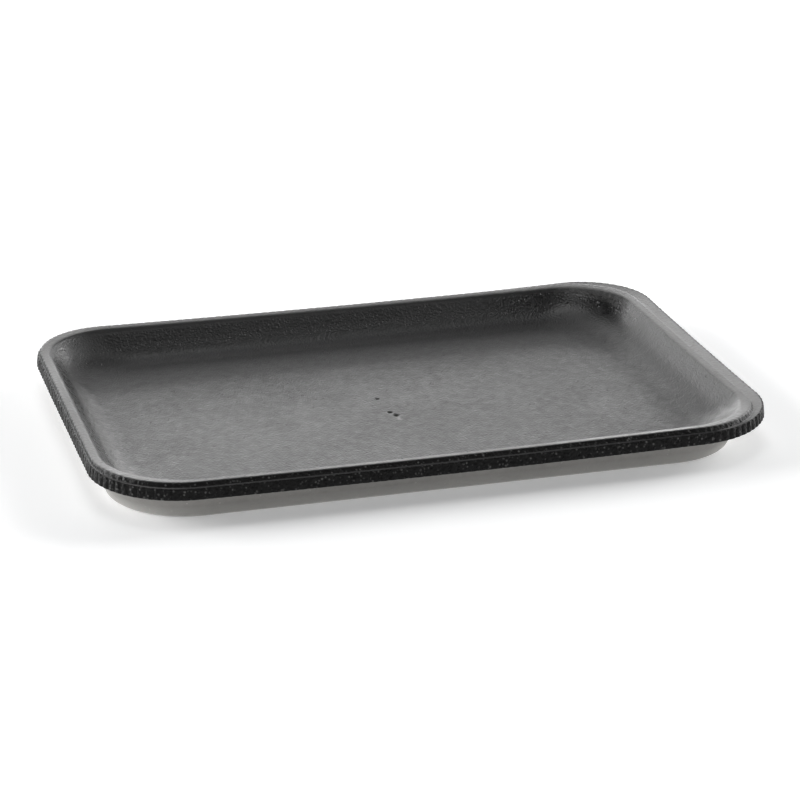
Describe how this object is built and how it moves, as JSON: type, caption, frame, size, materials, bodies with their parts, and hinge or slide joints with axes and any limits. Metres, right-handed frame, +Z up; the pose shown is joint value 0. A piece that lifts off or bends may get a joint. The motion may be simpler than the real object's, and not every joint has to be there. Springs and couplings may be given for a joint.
{
  "type": "foam meat tray",
  "caption": "Shallow rounded-rectangle foam food tray with sloping walls and a stepped, finely ribbed rim, made in one piece.",
  "frame": {"origin": "centre of the trimmed outline, on the plane the tray rests on", "axes": "+X along the tray's length, +Y along its width, +Z up out of the open side"},
  "size_m": [0.21, 0.146, 0.0134],
  "materials": {
    "foam": "black foamed polystyrene with a smooth satin skin"
  },
  "bodies": {
    "root": {"foam_tray": "foam"}
  },
  "joints": []
}
